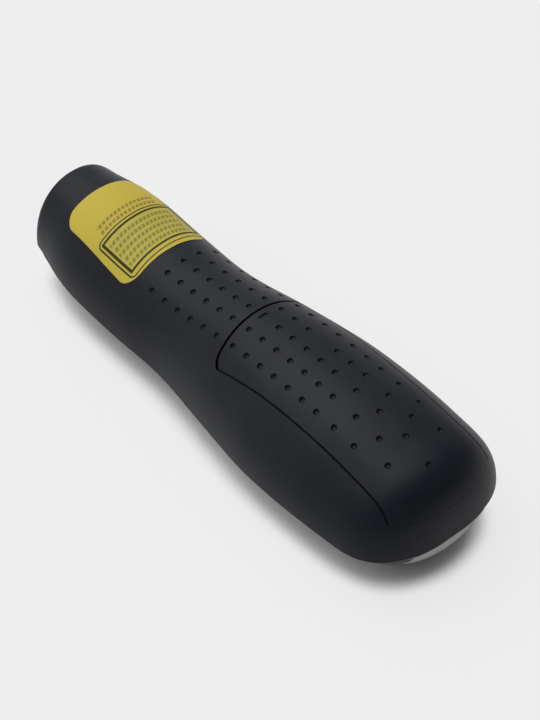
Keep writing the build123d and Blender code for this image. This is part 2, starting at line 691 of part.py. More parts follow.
def screw_head(place, base, radius, height):
    """A pan head with a cross recess."""
    head = rod(place, base, radius, height)
    head = fillet(head.edges().sort_by(Axis.Z)[-1], 0.4 * height)
    for length, width in ((1.2 * radius, 0.3 * radius), (0.3 * radius, 1.2 * radius)):
        head -= rounded_block(place, length, width, base + 0.5 * height, height, 0.05)
    return head


def make_board_screws():
    screwed, _ = board_post_places()
    screws = []
    for place in screwed:
        head = screw_head(place, BOARD_TOP, BOARD_SCREW_HEAD, BOARD_SCREW_HEAD_HEIGHT)
        screws.append(head + board_screw_shank(place, 0))
    return Compound(screws)


# ---- Laser -------------------------------------------------------------------------------

def make_laser_barrel():
    barrel = lengthwise_rod(BARREL_FRONT, LASER_HEIGHT, BARREL_RADIUS, BARREL_LENGTH)
    barrel -= lengthwise_rod(BARREL_FRONT - 1, LASER_HEIGHT, BARREL_BORE, BARREL_LENGTH + 2)
    groove = lengthwise_rod(BARREL_FRONT + 0.45 * BARREL_LENGTH, LASER_HEIGHT, BARREL_RADIUS + 1, 0.8)
    return barrel - (groove - lengthwise_rod(BARREL_FRONT, LASER_HEIGHT, 0.9 * BARREL_RADIUS, BARREL_LENGTH))


def make_laser_lens():
    """A lens with one domed face, held in the barrel's bore."""
    start = BARREL_FRONT + LENS_PLACE
    end = start + LENS_THICK

    def dome(height):
        return start + LENS_DOME - math.sqrt(LENS_DOME ** 2 - height ** 2)

    half = BARREL_BORE / 2
    arc = ThreePointArc((start, 0), (dome(half), half), (dome(BARREL_BORE), BARREL_BORE))
    sides = Polyline((dome(BARREL_BORE), BARREL_BORE), (end, BARREL_BORE), (end, 0), (start, 0))
    return Pos(0, 0, LASER_HEIGHT) * revolve(Plane.XZ * make_face([arc, sides]), Axis.X)


def make_laser_diode():
    """The diode's flange and can, at the barrel's rear end."""
    rear = BARREL_FRONT + BARREL_LENGTH
    flange = lengthwise_rod(rear - DIODE_LENGTH, LASER_HEIGHT, BARREL_BORE, DIODE_LENGTH)
    return flange + lengthwise_rod(rear - DIODE_LENGTH - DIODE_CAN_LENGTH, LASER_HEIGHT, DIODE_CAN_RADIUS,
                                   DIODE_CAN_LENGTH)


def make_laser_board():
    length, width, thick = LASER_BOARD
    rear = BARREL_FRONT + BARREL_LENGTH
    low = LASER_HEIGHT - thick / 2
    return block((rear, -width / 2, low), (rear + length, width / 2, low + thick))


# ---- Battery bay -------------------------------------------------------------------------

def casing_screw_shank(grow):
    top = TRAY_BASE + TRAY_FLOOR
    return rod(casing_screw_place(), top - CASING_SCREW_LENGTH - grow, CASING_SCREW_RADIUS + grow,
               CASING_SCREW_LENGTH + grow)


def make_casing_screw():
    """The screw that holds the tray and the thumb shell together."""
    base = TRAY_BASE + TRAY_FLOOR
    head = screw_head(casing_screw_place(), base, CASING_SCREW_HEAD, CASING_SCREW_HEAD_HEIGHT)
    return head + casing_screw_shank(0)


def make_battery_tray():
    """The open tray that holds both cells."""
    centre = ((BAY_FRONT + BAY_REAR) / 2, 0)
    outer = rounded_block(centre, BAY_LENGTH + 2 * TRAY_WALL, 2 * (TRAY_INSIDE + TRAY_WALL),
                          TRAY_BASE, TRAY_HEIGHT, TRAY_CORNER)
    inner = rounded_block(centre, BAY_LENGTH, 2 * TRAY_INSIDE, TRAY_BASE + TRAY_FLOOR, TRAY_HEIGHT,
                          TRAY_CORNER - TRAY_WALL)
    return outer - inner - casing_screw_shank(SCREW_GAP)


def make_cell(side, nub_toward_nose):
    """A dry cell: its can and, at one end, its contact nub."""
    sideways = side * CELL_SPACING / 2
    can_length = CELL_LENGTH - CELL_NUB_LENGTH
    start = CELL_FRONT + (CELL_NUB_LENGTH if nub_toward_nose else 0)
    can = lengthwise_rod(start, CELL_CENTRE, CELL_RADIUS, can_length, sideways)
    can = fillet(can.edges().filter_by(GeomType.CIRCLE), 0.5)
    nub_start = CELL_FRONT if nub_toward_nose else start + can_length
    return can + lengthwise_rod(nub_start, CELL_CENTRE, CELL_NUB_RADIUS, CELL_NUB_LENGTH, sideways)


def contact_plate(start, side_low, side_high):
    base = TRAY_BASE + TRAY_FLOOR
    return block((start, side_low, base), (start + CONTACT_THICK, side_high, base + CONTACT_HEIGHT))


def contact_spring(plate_face, cell_end, sideways):
    """A conical coil of round wire that narrows from the contact plate toward the cell."""
    reach = abs(cell_end - plate_face) - SPRING_GAP
    rise = reach - 1.8 * SPRING_WIRE
    path = Helix(rise / SPRING_TURNS, rise, SPRING_OUTER, cone_angle=-SPRING_TAPER)
    coil = sweep(Plane(origin=path @ 0, z_dir=path % 0) * Circle(SPRING_WIRE), path=path)
    facing = math.copysign(1, cell_end - plate_face)
    start = plate_face + facing * 0.8 * SPRING_WIRE
    return Pos(start, sideways, CELL_CENTRE) * Rot(0, facing * 90, 0) * coil


def make_plus_contact():
    """The plate at the nose end that meets the nub of the cell at -Y."""
    sideways = -CELL_SPACING / 2
    plate = contact_plate(BAY_FRONT, sideways - CONTACT_WIDTH / 2, sideways + CONTACT_WIDTH / 2)
    reach = FRONT_CONTACT_SPACE - CONTACT_THICK
    return plate + lengthwise_rod(BAY_FRONT + CONTACT_THICK, CELL_CENTRE, CELL_NUB_RADIUS, reach, sideways)


def make_minus_contact():
    """The plate and coil at the nose end that meet the flat end of the cell at +Y."""
    sideways = CELL_SPACING / 2
    plate = contact_plate(BAY_FRONT, sideways - CONTACT_WIDTH / 2, sideways + CONTACT_WIDTH / 2)
    return plate + contact_spring(BAY_FRONT + CONTACT_THICK, CELL_FRONT, sideways)


def make_bridge_contact():
    """The plate at the butt end that joins both cells, with a coil for one and a stud for the other."""
    half = (CELL_SPACING + CONTACT_WIDTH) / 2
    face = BAY_REAR - CONTACT_THICK
    cell_end = CELL_FRONT + CELL_LENGTH
    plate = contact_plate(face, -half, half)
    plate += lengthwise_rod(cell_end, CELL_CENTRE, CELL_NUB_RADIUS, face - cell_end, CELL_SPACING / 2)
    return plate + contact_spring(face, cell_end, -CELL_SPACING / 2)


# ---- USB receiver ------------------------------------------------------------------------

def receiver_bar(start, end, width, thick, corner):
    """A bar along X at the receiver's height, with rounded lengthwise edges."""
    section = Plane.YZ * Pos(0, RECEIVER_CENTRE) * RectangleRounded(width, thick, corner)
    return Pos(start, 0, 0) * extrude(section, end - start)


def receiver_block(grow, reach):
    """The space that the receiver's case takes, grown by this much and run on past the butt."""
    return receiver_bar(RECEIVER_FRONT - grow, BUTT + reach, RECEIVER_WIDTH + 2 * grow,
                        RECEIVER_THICK + 2 * grow, RECEIVER_CORNER + grow)


def receiver_cap_block(grow, reach):
    """The space that the case's wider end takes, grown by this much and run on past the butt."""
    half = RECEIVER_CAP_WIDTH / 2 + grow
    low = RECEIVER_TOP - RECEIVER_THICK - grow
    return block((BUTT - RECEIVER_CAP_LENGTH - grow, -half, low), (BUTT + reach, half, RECEIVER_TOP + reach))


def make_receiver_case():
    """The case, whose end carries on the casing's shape at the butt."""
    case = (receiver_block(0, 0) + receiver_cap_block(0, 0)) & make_hull_form(0)
    case -= receiver_bar(RECEIVER_FRONT - 1, RECEIVER_FRONT + PLUG_ROOT, PLUG_WIDTH, PLUG_THICK, 0.5)
    low = RECEIVER_CENTRE - RECEIVER_ROOM_HEIGHT / 2
    return case - block((RECEIVER_FRONT + PLUG_ROOT, -RECEIVER_ROOM_WIDTH / 2, low),
                        (BUTT - RECEIVER_ROOM_END, RECEIVER_ROOM_WIDTH / 2, low + RECEIVER_ROOM_HEIGHT))


def make_receiver_plug():
    """The plug's open sheet-metal sleeve, with two latch holes in its upper side."""
    end = RECEIVER_FRONT + PLUG_ROOT
    sleeve = receiver_bar(PLUG_FRONT, end, PLUG_WIDTH, PLUG_THICK, 0.5)
    sleeve -= receiver_bar(PLUG_FRONT - 1, end + 1, PLUG_WIDTH - 2 * PLUG_SHEET,
                           PLUG_THICK - 2 * PLUG_SHEET, 0.2)
    for side in (-1, 1):
        place = (PLUG_FRONT + 6.2, side * 2.8)
        sleeve -= rounded_block(place, 2.5, 2.5, RECEIVER_CENTRE, PLUG_THICK, 0.1)
    return sleeve


def make_receiver_tongue():
    """The bar in the plug that carries its contacts."""
    low = RECEIVER_CENTRE - PLUG_THICK / 2 + PLUG_SHEET
    return block((PLUG_FRONT + PLUG_TONGUE_SET_IN, -PLUG_TONGUE_WIDTH / 2, low),
                 (RECEIVER_FRONT + PLUG_ROOT, PLUG_TONGUE_WIDTH / 2, low + PLUG_TONGUE_THICK))


def make_receiver_contacts():
    low = RECEIVER_CENTRE - PLUG_THICK / 2 + PLUG_SHEET + PLUG_TONGUE_THICK
    start = PLUG_FRONT + 2 * PLUG_TONGUE_SET_IN
    return Compound([block((start, sideways - PLUG_CONTACT_WIDTH / 2, low),
                           (start + length, sideways + PLUG_CONTACT_WIDTH / 2, low + PLUG_CONTACT_THICK))
                     for sideways, length in PLUG_CONTACTS])


def receiver_board_top():
    return RECEIVER_CENTRE + RECEIVER_BOARD_THICK / 2


def make_receiver_board():
    """The receiver's board, from the tongue's rear end to the back of the case."""
    low = receiver_board_top() - RECEIVER_BOARD_THICK
    half = RECEIVER_BOARD_WIDTH / 2
    return block((RECEIVER_FRONT + PLUG_ROOT, -half, low),
                 (BUTT - RECEIVER_ROOM_END - RECEIVER_BOARD_GAP, half, low + RECEIVER_BOARD_THICK))


def make_receiver_chip():
    length, width, height = RECEIVER_CHIP
    centre = ((RECEIVER_FRONT + PLUG_ROOT + BUTT - RECEIVER_ROOM_END) / 2, 0)
    return rounded_block(centre, length, width, receiver_board_top(), height, 0.2)


def make_receiver_dock():
    """The channel under the battery tray that the receiver slides into."""
    front = PLUG_FRONT - DOCK_GAP - DOCK_WALL
    half = RECEIVER_WIDTH / 2 + RECEIVER_FIT
    plug_half = PLUG_WIDTH / 2 + RECEIVER_FIT
    case_low = RECEIVER_TOP - RECEIVER_THICK - RECEIVER_FIT
    plug_low = RECEIVER_CENTRE - PLUG_THICK / 2 - RECEIVER_FIT
    dock = block((front, -half - DOCK_WALL, FLOOR_TOP),
                 (BUTT - DOCK_END, half + DOCK_WALL, TRAY_BASE - DOCK_TOP_GAP))
    dock -= block((RECEIVER_FRONT - RECEIVER_FIT, -half, case_low), (BUTT, half, TRAY_BASE))
    return dock - block((front + DOCK_WALL, -plug_half, plug_low), (BUTT, plug_half, TRAY_BASE))


# ---- The part ----------------------------------------------------------------------------

def make_nodes():
    """Every piece under its name, each in its place in the part."""
    back_form = make_back_form()
    hull_form = make_hull_form(PARTING_STEP)
    room = make_room(WALL)
    nodes = {
        "back_shell": make_back_shell(back_form, room),
        "battery_cover": make_battery_cover(back_form, room),
        "sticker": make_sticker(back_form),
        "thumb_shell": make_thumb_shell(back_form, hull_form, room),
        "face_plate": make_face_plate(),
        "laser_window": make_laser_window(),
        "power_knob": make_power_knob(),
        "power_slider": make_power_slider(),
        "power_switch": make_power_switch(),
        "key_switches": make_key_switches(),
        "light_pipe": make_light_pipe(),
        "status_led": make_status_led(),
        "circuit_board": make_circuit_board(),
        "capacitors": make_capacitors(),
        "power_coil": make_power_coil(),
        "board_screws": make_board_screws(),
        "laser_barrel": make_laser_barrel(),
        "laser_lens": make_laser_lens(),
        "laser_diode": make_laser_diode(),
        "laser_board": make_laser_board(),
        "casing_screw": make_casing_screw(),
        "battery_tray": make_battery_tray(),
        "battery_left": make_cell(-1, True),
        "battery_right": make_cell(1, False),
        "plus_contact": make_plus_contact(),
        "minus_contact": make_minus_contact(),
        "bridge_contact": make_bridge_contact(),
        "receiver_case": make_receiver_case(),
        "receiver_plug": make_receiver_plug(),
        "receiver_tongue": make_receiver_tongue(),
        "receiver_contacts": make_receiver_contacts(),
        "receiver_board": make_receiver_board(),
        "receiver_chip": make_receiver_chip(),
        "receiver_dock": make_receiver_dock(),
    }
    for name in KEYS:
        nodes[name + "_key"] = make_key(name)
        nodes[name + "_plunger"] = make_plunger(name)
    for name in CHIPS:
        nodes[name] = make_chip(name)
    return nodes


os.makedirs("parts", exist_ok=True)
for node_name, shape in make_nodes().items():
    shape.label = node_name
    export_step(shape, "parts/" + node_name + ".step")
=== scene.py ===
"""Finishes, print and studio for a handheld presentation clicker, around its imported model."""

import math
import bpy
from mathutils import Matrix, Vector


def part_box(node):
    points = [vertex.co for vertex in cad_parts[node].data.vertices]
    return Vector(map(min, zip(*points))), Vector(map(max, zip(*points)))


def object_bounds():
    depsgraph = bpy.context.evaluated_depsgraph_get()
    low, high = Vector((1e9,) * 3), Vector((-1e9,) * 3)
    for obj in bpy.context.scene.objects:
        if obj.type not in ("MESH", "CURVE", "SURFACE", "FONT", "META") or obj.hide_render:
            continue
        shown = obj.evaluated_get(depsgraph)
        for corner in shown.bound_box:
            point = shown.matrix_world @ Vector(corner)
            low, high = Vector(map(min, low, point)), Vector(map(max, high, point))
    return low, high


bl_info = {
    "name": "Presentation Clicker",
    "version": (1, 0, 0),
    "blender": (4, 5, 0),
    "location": "View3D > Sidebar > Clicker",
    "description": "Finishes, printed sticker, key marks and studio for a handheld presentation clicker",
    "category": "Object",
}

import bpy
import bmesh
from bpy.props import FloatProperty, FloatVectorProperty, PointerProperty
from mathutils import Matrix, Vector

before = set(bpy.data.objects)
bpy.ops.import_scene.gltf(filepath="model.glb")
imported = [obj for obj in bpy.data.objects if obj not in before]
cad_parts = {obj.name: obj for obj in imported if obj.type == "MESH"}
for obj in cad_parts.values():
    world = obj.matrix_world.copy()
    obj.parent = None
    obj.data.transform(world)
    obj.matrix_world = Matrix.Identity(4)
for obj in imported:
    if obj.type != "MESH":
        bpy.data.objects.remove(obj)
CAD_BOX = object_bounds()

MM = 0.001
NOSE = CAD_BOX[0][0]
NOISE_RANGE = (0.3, 0.7)    # where most of a noise pattern's values lie
FOLD_SHIFT = 100            # pitches added before a fold, so that it only meets values above 0


def plan_centre(node):
    """The middle of a node in plan."""
    low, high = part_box(node)
    return (low + high) / 2


def shade(colour, factor):
    """A lighter or darker colour of the same tint."""
    return tuple(factor * c for c in colour)


# ---- Materials ------------------------------------------------------------------------------

class Wire:
    """A socket in a finish. Arithmetic on wires adds the Math nodes."""

    def __init__(self, finish, socket):
        self.finish = finish
        self.socket = socket

    def maths(self, operation, first, second=None):
        values = {0: first} if second is None else {0: first, 1: second}
        return self.finish.add("ShaderNodeMath", {"operation": operation}, values)

    def __add__(self, other):
        return self.maths("ADD", self, other)

    __radd__ = __add__

    def __sub__(self, other):
        return self.maths("SUBTRACT", self, other)

    def __rsub__(self, other):
        return self.maths("SUBTRACT", other, self)

    def __mul__(self, other):
        return self.maths("MULTIPLY", self, other)

    __rmul__ = __mul__

    def __abs__(self):
        return self.maths("ABSOLUTE", self)

    def high(self, other):
        return self.maths("MAXIMUM", self, other)

    def low(self, other):
        return self.maths("MINIMUM", self, other)

    def root(self):
        return self.maths("SQRT", self)

    def wave(self, pitch):
        """Distance to the nearest multiple of a pitch."""
        return self.maths("PINGPONG", self + FOLD_SHIFT * pitch, pitch / 2)


class Graph:
    """The nodes of one material or world."""

    def __init__(self, owner):
        owner.use_nodes = True
        self.nodes = owner.node_tree.nodes
        self.links = owner.node_tree.links

    def add(self, kind, settings, values, output=0):
        """A new node, from its type, its settings, and its sockets' values or links."""
        node = self.nodes.new(kind)
        for name, value in settings.items():
            setattr(node, name, value)
        for socket, value in values.items():
            self.join(node.inputs[socket], value)
        return Wire(self, node.outputs[output])

    def join(self, target, value):
        """Link a wire to a socket, or set the socket's own value."""
        if isinstance(value, Wire):
            self.links.new(value.socket, target)
        elif target.type == "RGBA" and len(value) == 3:
            target.default_value = (*value, 1.0)
        else:
            target.default_value = value

    def surface(self, shader):
        """Send a shader to the graph's output."""
        output = next(n for n in self.nodes if n.type.startswith("OUTPUT"))
        self.join(output.inputs["Surface"], shader)


class Finish(Graph):
    """A material around one Principled shader."""

    def __init__(self, name, **settings):
        self.material = bpy.data.materials.new(name)
        super().__init__(self.material)
        self.shader = self.nodes["Principled BSDF"]
        for socket, value in settings.items():
            self.shader.inputs[socket.replace("_", " ")].default_value = value

    def place(self, centre=(0.0, 0.0, 0.0)):
        """Object coordinates in millimetres from a centre, and their three parts."""
        where = self.add("ShaderNodeTexCoord", {}, {}, "Object")
        shift = tuple(-c / MM for c in centre)
        mapped = self.add("ShaderNodeMapping", {}, {"Vector": where, "Location": shift,
                                                    "Scale": (1 / MM, 1 / MM, 1 / MM)})
        parts = [self.add("ShaderNodeSeparateXYZ", {}, {"Vector": mapped}, i) for i in range(3)]
        return mapped, parts

    def noise(self, where, scale, detail=2.0, roughness=0.5):
        """A cloudy pattern. The scale is in features per millimetre."""
        return self.add("ShaderNodeTexNoise", {}, {"Vector": where, "Scale": scale, "Detail": detail,
                                                   "Roughness": roughness})

    def spots(self, where, scale):
        """Distance from the nearest of many scattered points."""
        return self.add("ShaderNodeTexVoronoi", {}, {"Vector": where, "Scale": scale})

    def span(self, value, low, high, to_low, to_high):
        return self.add("ShaderNodeMapRange", {}, {"Value": value, "From Min": low, "From Max": high,
                                                   "To Min": to_low, "To Max": to_high})

    def spread(self, pattern, to_low, to_high):
        """A noise pattern's usual range, laid over another range."""
        return self.span(pattern, *NOISE_RANGE, to_low, to_high)

    def edge(self, value, limit, soft):
        """1 below a limit and 0 above it, with a soft edge."""
        return self.span(value, limit - soft / 2, limit + soft / 2, 1.0, 0.0)

    def frame_distance(self, along, across, start, end, low, high, corner):
        """Distance outside a rectangle with rounded corners, and less than 0 inside it."""
        beyond = abs(along - (start + end) / 2) - ((end - start) / 2 - corner)
        beside = abs(across - (low + high) / 2) - ((high - low) / 2 - corner)
        outside = beyond.high(0.0) * beyond.high(0.0) + beside.high(0.0) * beside.high(0.0)
        return outside.root() + beyond.high(beside).low(0.0) - corner

    def mix(self, share, first, second):
        return self.add("ShaderNodeMix", {"data_type": "RGBA"}, {0: share, 6: first, 7: second}, 2)

    def colour(self, value):
        self.join(self.shader.inputs["Base Color"], value)

    def roughness(self, value):
        self.join(self.shader.inputs["Roughness"], value)

    def relief(self, height, strength, depth):
        """A bump from a height pattern, with its depth in millimetres."""
        values = {"Height": height, "Strength": strength, "Distance": depth * MM}
        self.join(self.shader.inputs["Normal"], self.add("ShaderNodeBump", {}, values))


def dress(finish, *nodes):
    """Give a finish to every material slot of these nodes."""
    for name in nodes:
        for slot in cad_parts[name].material_slots:
            slot.material = finish.material


# ---- Casing ---------------------------------------------------------------------------------

class CasingLook(bpy.types.PropertyGroup):
    black: FloatVectorProperty(name="Soft black", description="Colour of the coated casing",
                               subtype="COLOR", default=(0.0080, 0.0093, 0.0138))
    lower: FloatVectorProperty(name="Lower casing", description="Colour of the thumb side's casing",
                               subtype="COLOR", default=(0.026, 0.022, 0.020))
    softness: FloatProperty(name="Softness", description="Roughness of the soft-touch coating",
                            default=0.39, min=0.0, max=1.0, subtype="FACTOR")
    grain: FloatProperty(name="Grain", description="Grains of the coating per millimetre",
                         default=5.0, min=0.1)


UPPER_SHEEN = 0.13          # specular level of the back shell and the cover
LOWER_SHEEN = 0.5           # and of the thumb shell
LOWER_SMOOTHER = 0.12       # the thumb shell's roughness is less by this


def coating(name, colour, sheen, roughness, grain):
    """A coating with a fine grain and slight unevenness in colour and sheen."""
    finish = Finish(name, Specular_IOR_Level=sheen)
    where, _ = finish.place()
    cloud = finish.noise(where, 0.12, detail=3.0)
    finish.colour(finish.mix(finish.span(cloud, 0.35, 0.65, 0.0, 1.0), colour, shade(colour, 1.18)))
    fine = finish.noise(where, grain, detail=2.0, roughness=0.6)
    finish.roughness(finish.spread(fine, roughness - 0.04, roughness + 0.04))
    finish.relief(fine, 0.12, 0.02)
    return finish


class CLICKER_OT_casing(bpy.types.Operator):
    """Coat the back shell, the battery cover and the thumb shell"""
    bl_idname = "clicker.casing"
    bl_label = "Casing"

    def execute(self, context):
        look = context.scene.clicker_casing
        upper = coating("soft_touch", look.black, UPPER_SHEEN, look.softness, look.grain)
        lower = coating("lower_casing", look.lower, LOWER_SHEEN, look.softness - LOWER_SMOOTHER, look.grain)
        dress(upper, "back_shell", "battery_cover")
        dress(lower, "thumb_shell")
        return {"FINISHED"}


# ---- Sticker --------------------------------------------------------------------------------

class StickerLook(bpy.types.PropertyGroup):
    yellow: FloatVectorProperty(name="Yellow", description="Colour of the sticker", subtype="COLOR",
                                default=(0.43, 0.375, 0.062))
    border: FloatVectorProperty(name="Border", description="Colour of the sticker round its frames",
                                subtype="COLOR", default=(0.50, 0.395, 0.052))
    ink: FloatVectorProperty(name="Ink", description="Colour of the printed frames", subtype="COLOR",
                             default=(0.035, 0.028, 0.010))
    faint_ink: FloatVectorProperty(name="Faint ink", description="Colour of the broken lines to write on",
                                   subtype="COLOR", default=(0.20, 0.145, 0.035))
    frame_start: FloatProperty(name="Frame start", description="Nose to the inner printed frame",
                               default=20.6 * MM, subtype="DISTANCE", unit="LENGTH")
    frame_end: FloatProperty(name="Frame end", description="Nose to the inner frame's far side",
                             default=30.05 * MM, subtype="DISTANCE", unit="LENGTH")
    row_pitch: FloatProperty(name="Row pitch", description="From one broken line to the next",
                             default=1.6 * MM, subtype="DISTANCE", unit="LENGTH")


# The print, in millimetres: along from the nose, and across from the middle line. Each line
# is given by half its width.
PRINT_SLANT = 0.047                 # along, for each millimetre across
INNER_SIDES = (-8.3, 9.6)
OUTER_SIDES = (-9.05, 10.3)
OUTER_AHEAD = 0.87                  # inner frame to the outer one, toward the nose
OUTER_BEHIND = 1.3                  # and toward the butt
OUTER_CORNER = 1.1
INNER_LINE = 0.27
OUTER_LINE = 0.15
FRAME_SOFT = 0.1
ROWS = 5
ROW_START = 1.7                     # inner frame to the first row
ROW_LINE = 0.45
ROW_MIDDLE = 0.2
ROW_HALF_LENGTH = 7.9
HEADER_AHEAD = 2.72                 # inner frame back to the middle of the two header lines
HEADER_SPREAD = 0.72                # the middle to each of them
HEADER_LINE = 0.42
HEADER_MIDDLE = 0.3
HEADER_HALF_LENGTH = 7.3
DASH_PITCH = 1.05
DASH_SLANT = 0.3
DASH_HALF_LENGTH = 0.36
DASH_SOFT = 0.2                     # soft edge of the dashes and broken lines
END_SOFT = 0.05
DASH_STRENGTH = 0.8


class CLICKER_OT_sticker(bpy.types.Operator):
    """Print the sticker with a double frame and broken lines to write on"""
    bl_idname = "clicker.sticker"
    bl_label = "Sticker"

    def execute(self, context):
        look = context.scene.clicker_sticker
        finish = Finish("sticker_print", Specular_IOR_Level=0.12)
        where, (x, y, _) = finish.place((NOSE, 0.0, 0.0))
        along = x + y * PRINT_SLANT
        start, end, pitch = (v / MM for v in (look.frame_start, look.frame_end, look.row_pitch))
        inner = finish.frame_distance(along, y, start, end, *INNER_SIDES, 0.0)
        outer = finish.frame_distance(along, y, start - OUTER_AHEAD, end + OUTER_BEHIND, *OUTER_SIDES,
                                      OUTER_CORNER)
        lines = finish.edge(abs(inner), INNER_LINE, FRAME_SOFT)
        lines = lines.high(finish.edge(abs(outer), OUTER_LINE, FRAME_SOFT))
        dash = finish.edge((y + along * DASH_SLANT).wave(DASH_PITCH), DASH_HALF_LENGTH, DASH_SOFT)
        faint = (self.rows(finish, along, y, start, pitch) + self.header(finish, along, y, start)) * dash
        tone = finish.noise(where, 0.25, detail=3.0)
        border = finish.span(outer + tone * 2.0, -1.2, 2.2, 0.0, 1.0)
        paper = finish.mix(border, look.yellow, look.border)
        printed = finish.mix(faint * DASH_STRENGTH, paper, look.faint_ink)
        finish.colour(finish.mix(lines, printed, look.ink))
        fibre = finish.noise(where, 9.0)
        finish.roughness(finish.spread(fibre, 0.46, 0.54))
        finish.relief(fibre, 0.05, 0.01)
        dress(finish, "sticker")
        return {"FINISHED"}

    def rows(self, finish, along, across, start, pitch):
        """Lines to write on, inside the inner frame."""
        first = start + ROW_START
        rows = finish.edge((along - first).wave(pitch), ROW_LINE, DASH_SOFT)
        rows = rows * finish.edge(abs(along - (first + (ROWS - 1) / 2 * pitch)), ROWS / 2 * pitch, END_SOFT)
        return rows * finish.edge(abs(across - ROW_MIDDLE), ROW_HALF_LENGTH, END_SOFT)

    def header(self, finish, along, across, start):
        """Two lines ahead of the frames."""
        away = abs(abs(along - (start - HEADER_AHEAD)) - HEADER_SPREAD)
        header = finish.edge(away, HEADER_LINE, DASH_SOFT)
        return header * finish.edge(abs(across - HEADER_MIDDLE), HEADER_HALF_LENGTH, END_SOFT)


# ---- Thumb side ------------------------------------------------------------------------------

class ControlLook(bpy.types.PropertyGroup):
    plate: FloatVectorProperty(name="Plate", description="Colour of the glossy face plate",
                               subtype="COLOR", default=(0.012, 0.012, 0.013))
    key: FloatVectorProperty(name="Key", description="Colour of the keys", subtype="COLOR",
                             default=(0.045, 0.045, 0.048))
    mark: FloatVectorProperty(name="Mark", description="Colour of the keys' printed marks", subtype="COLOR",
                              default=(0.72, 0.72, 0.70))
    warm_mark: FloatVectorProperty(name="Warm mark", description="Colour of the laser key's ring",
                                   subtype="COLOR", default=(0.62, 0.05, 0.035))


# The keys' printed marks, in millimetres from each key's middle. Each line is given by half
# its width.
ARROW_SIZE = 1.7
ARROW_LINE = 0.26
ARROW_SOFT = 0.06
ARROW_END_SOFT = 0.04
TRIANGLE_SIZE = 0.38
TRIANGLE_BACK = 0.6
SQUARE_HALF = 0.72
SQUARE_LINE = 0.11
MARK_SOFT = 0.05
RING_RADIUS = 2.1
RING_LINE = 0.17
DOT_RADIUS = 0.42
RING_SOFT = 0.06


def key_finish(node):
    """Moulded key plastic, and the plan coordinates from the key's middle."""
    finish = Finish(node + "_plastic", Specular_IOR_Level=0.4)
    where, parts = finish.place(plan_centre(node))
    fine = finish.noise(where, 6.0)
    finish.roughness(finish.spread(fine, 0.42, 0.5))
    finish.relief(fine, 0.08, 0.02)
    return finish, parts


def chevron(finish, along, across):
    """A printed arrow head that points along +X."""
    tip = abs(along + abs(across) - ARROW_SIZE / 2)
    return finish.edge(tip, ARROW_LINE, ARROW_SOFT) * finish.edge(abs(across), ARROW_SIZE, ARROW_END_SOFT)


def play_triangle(finish, x, y):
    """A solid triangle that points along +X."""
    sides = finish.edge(x * 0.5 + abs(y), TRIANGLE_SIZE, MARK_SOFT)
    return sides * finish.edge(0.0 - x, TRIANGLE_BACK, MARK_SOFT)


def open_square(finish, x, y):
    """The outline of a square."""
    return finish.edge(abs(abs(x).high(abs(y)) - SQUARE_HALF), SQUARE_LINE, MARK_SOFT)


def ring_and_dot(finish, x, y):
    """A thin ring with a dot in its middle."""
    away = (x * x + y * y).root()
    ring = finish.edge(abs(away - RING_RADIUS), RING_LINE, RING_SOFT)
    return ring.high(finish.edge(away, DOT_RADIUS, RING_SOFT))


class CLICKER_OT_controls(bpy.types.Operator):
    """Finish the face plate, the keys with their printed marks, the power knob and the status light"""
    bl_idname = "clicker.controls"
    bl_label = "Controls"

    def execute(self, context):
        look = context.scene.clicker_controls
        plate = Finish("face_plate_gloss", Coat_Weight=0.5, Coat_Roughness=0.06)
        where, _ = plate.place()
        smear = plate.noise(where, 0.35, detail=4.0, roughness=0.65)
        plate.colour(plate.mix(plate.spread(smear, 0.0, 1.0), look.plate, shade(look.plate, 1.5)))
        plate.roughness(plate.span(smear, 0.35, 0.7, 0.12, 0.26))
        plate.relief(plate.noise(where, 0.9, detail=1.0), 0.05, 0.03)
        dress(plate, "face_plate")
        self.key("next_key", chevron, look.key, look.mark)
        self.key("previous_key", lambda finish, x, y: chevron(finish, x * -1.0, y), look.key, look.mark)
        self.key("play_key", play_triangle, look.key, look.mark)
        self.key("blank_key", open_square, look.key, look.mark)
        self.key("laser_key", ring_and_dot, look.key, look.warm_mark)
        dress(plain_plastic("knob_plastic", (0.28, 0.28, 0.29), 0.42), "power_knob")
        window = clear_finish("laser_window_clear", (0.30, 0.015, 0.012), 0.75, 1.49, 1.5, (0.03, 0.07))
        dress(window, "laser_window")
        pipe = clear_finish("light_pipe_clear", (0.82, 0.86, 0.82), 0.6, 1.49, 4.0, (0.2, 0.32))
        dress(pipe, "light_pipe")
        return {"FINISHED"}

    def key(self, node, draw, plastic, ink):
        """Key plastic with a mark printed in ink."""
        finish, (x, y, _) = key_finish(node)
        finish.colour(finish.mix(draw(finish, x, y), plastic, ink))
        dress(finish, node)


def clear_finish(name, tint, transmission, ior, grain, roughness, detail=2.0):
    """Clear plastic or glass, with a polish that varies between two roughnesses."""
    finish = Finish(name, Base_Color=(*tint, 1.0), Transmission_Weight=transmission, IOR=ior)
    where, _ = finish.place()
    finish.roughness(finish.spread(finish.noise(where, grain, detail), *roughness))
    return finish


def plain_plastic(name, colour, roughness):
    """Moulded plastic with a fine spark-eroded grain and slightly uneven colour."""
    finish = Finish(name, Specular_IOR_Level=0.4)
    where, _ = finish.place()
    fine = finish.noise(where, 4.0, detail=3.0, roughness=0.6)
    flow = finish.noise(where, 0.2)
    finish.colour(finish.mix(finish.spread(flow, 0.0, 1.0), colour, shade(colour, 1.12)))
    finish.roughness(finish.spread(fine, roughness - 0.05, roughness + 0.05))
    finish.relief(fine, 0.15, 0.02)
    return finish


DRAWING_MARKS = (0.3, 6.0, 6.0)     # scale of a metal's marks along X, Y and Z


